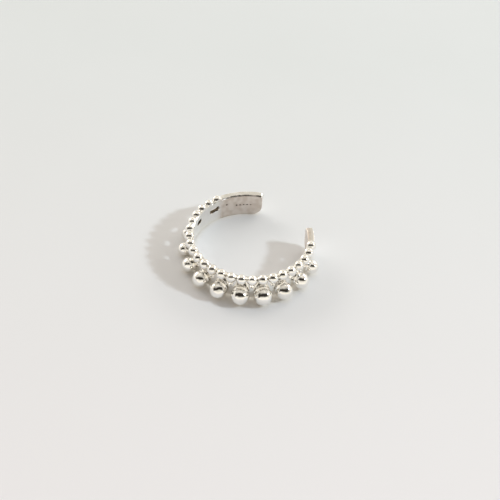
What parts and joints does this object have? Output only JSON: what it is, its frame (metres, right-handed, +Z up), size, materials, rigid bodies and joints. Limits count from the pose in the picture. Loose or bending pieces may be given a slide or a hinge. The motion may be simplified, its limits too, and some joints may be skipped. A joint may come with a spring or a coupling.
{
  "type": "ear cuff",
  "caption": "Open silver ear cuff: a slotted band with plain end plates, a row of small beads and a row of graduated larger beads.",
  "frame": {"origin": "middle of the footprint of the cuff as it lies on its side, on the surface it rests on", "axes": "+Z up from that surface, near the cuff's own ring axis; +Y towards the opening between the two end plates; the long plate is on the -X side"},
  "size_m": [0.0134, 0.0118, 0.003],
  "materials": {
    "silver": "polished silver, satin on the plates' inner faces"
  },
  "bodies": {
    "root": {"ear_cuff": "silver"}
  },
  "joints": []
}
